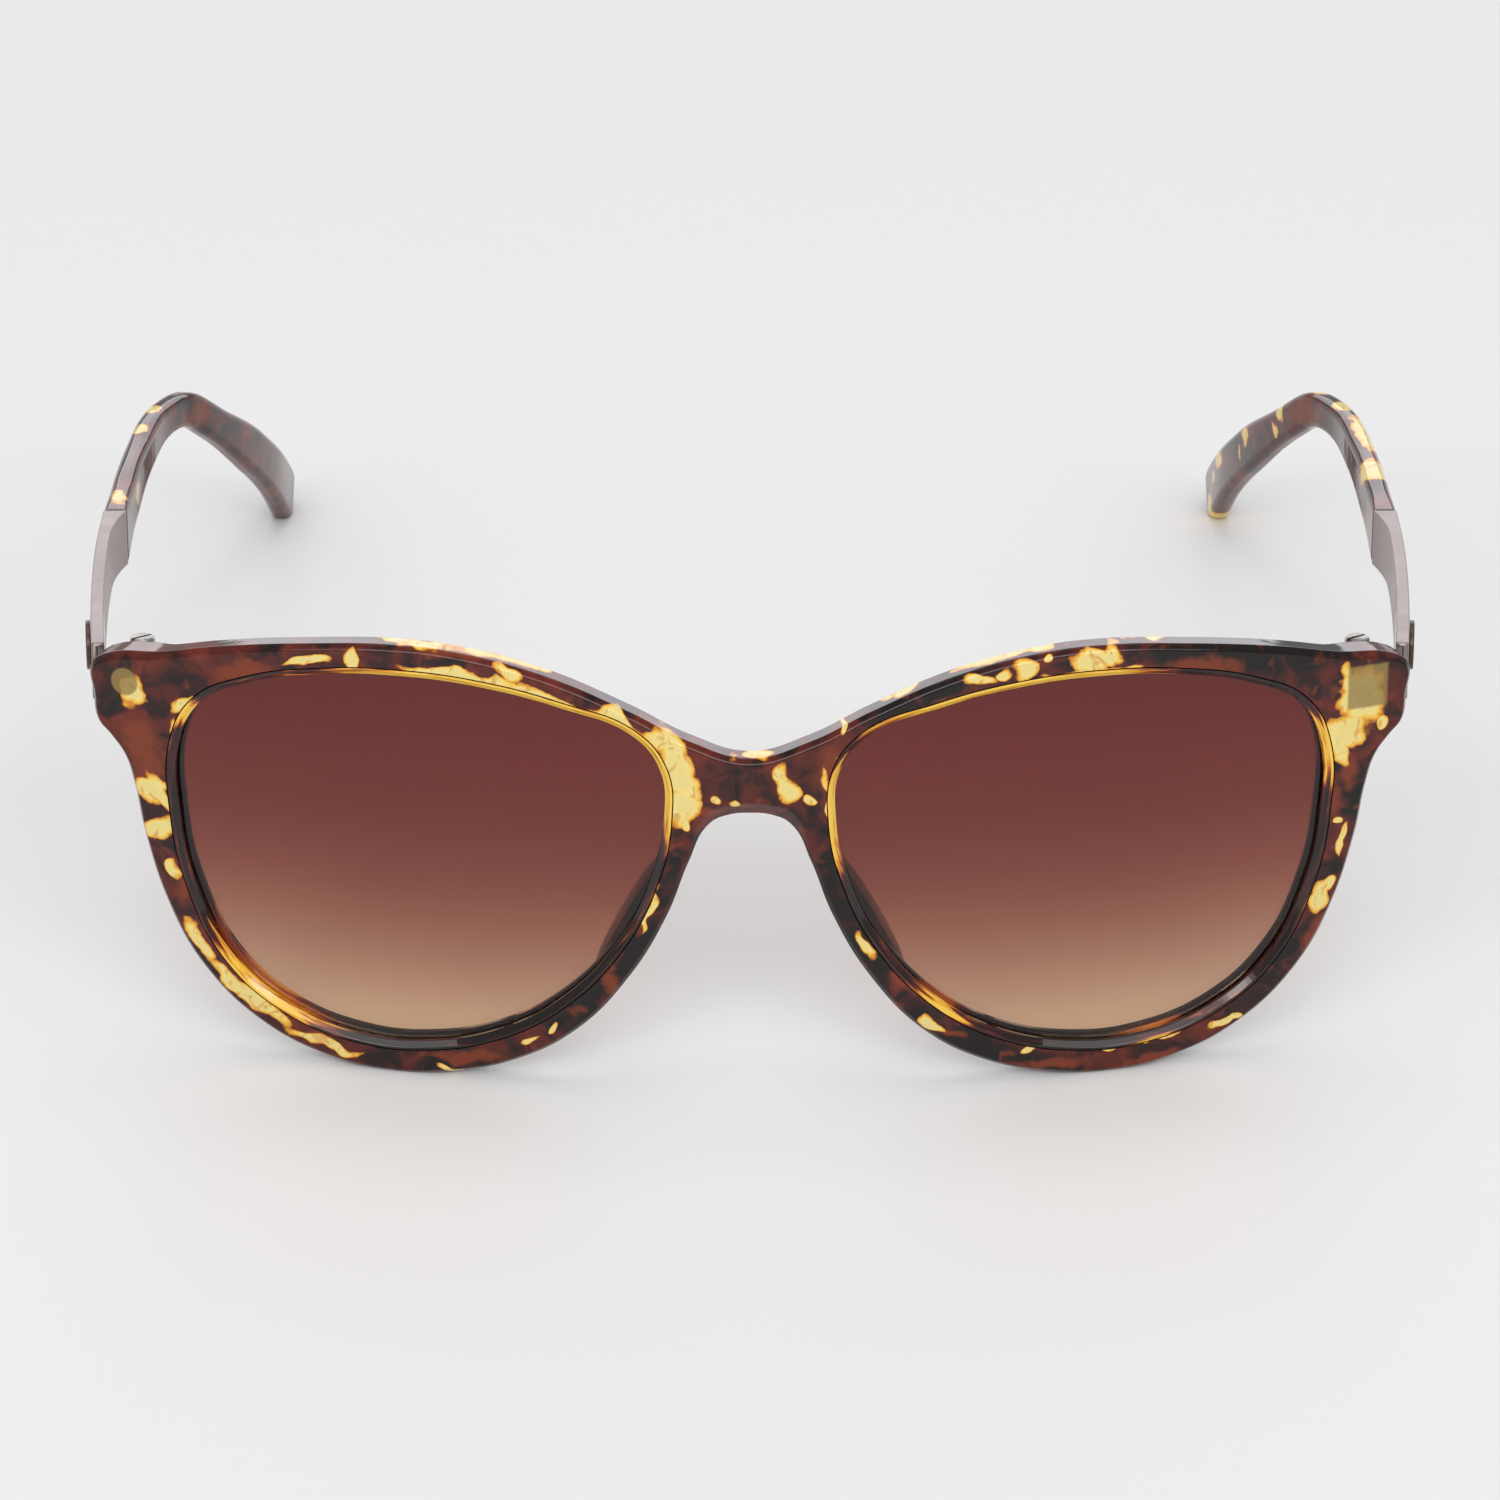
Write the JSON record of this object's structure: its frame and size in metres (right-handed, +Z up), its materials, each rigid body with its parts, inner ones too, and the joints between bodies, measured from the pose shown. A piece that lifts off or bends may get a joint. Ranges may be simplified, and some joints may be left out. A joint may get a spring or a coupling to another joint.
{
  "type": "cat eye sunglasses",
  "caption": "Cat eye sunglasses with a tortoiseshell plastic front, brown gradient lenses and folding metal temples with curved plastic tips.",
  "frame": {"origin": "on the table under the middle of the open pair, at the bottom centre of its bounding box", "axes": "+X to the viewer's right across the front, +Y from the lenses back along the temples, +Z up"},
  "size_m": [0.1476, 0.1472, 0.0513],
  "materials": {
    "tortoiseshell": "polished tortoiseshell plastic, dark brown with amber and honey patches",
    "lens": "clear glossy plastic with a brown gradient tint, darker at the top",
    "nose_pad": "polished tortoiseshell plastic",
    "hinge_steel": "plain silver steel",
    "anchor_brass": "plain brass",
    "arm_metal": "satin taupe coating on metal",
    "rivet": "dark brown coated metal",
    "tip_plastic": "polished tortoiseshell plastic, darker than the front"
  },
  "bodies": {
    "front": {"front_frame": "tortoiseshell", "lens_left": "lens", "lens_right": "lens", "nose_pad_left": "nose_pad", "nose_pad_right": "nose_pad", "front_hinge_left": "hinge_steel", "front_hinge_right": "hinge_steel", "hinge_anchor_left": "anchor_brass", "hinge_anchor_right": "anchor_brass", "hinge_screw_left": "hinge_steel", "hinge_screw_right": "hinge_steel"},
    "left_temple": {"temple_hinge_left": "hinge_steel", "temple_arm_left": "arm_metal", "temple_rivet_left": "rivet", "temple_core_left": "hinge_steel", "temple_tip_left": "tip_plastic"},
    "right_temple": {"temple_hinge_right": "hinge_steel", "temple_arm_right": "arm_metal", "temple_rivet_right": "rivet", "temple_core_right": "hinge_steel", "temple_tip_right": "tip_plastic"}
  },
  "joints": [
    {"name": "left_temple_fold", "type": "hinge", "parent": "front", "child": "left_temple", "pos_m": [-0.0658, -0.05449, 0.04186], "axis": [0, -0.108, -0.9942], "range_deg": [0, 87]},
    {"name": "right_temple_fold", "type": "hinge", "parent": "front", "child": "right_temple", "pos_m": [0.0658, -0.05449, 0.04186], "axis": [0, 0.108, 0.9942], "range_deg": [0, 81]}
  ]
}
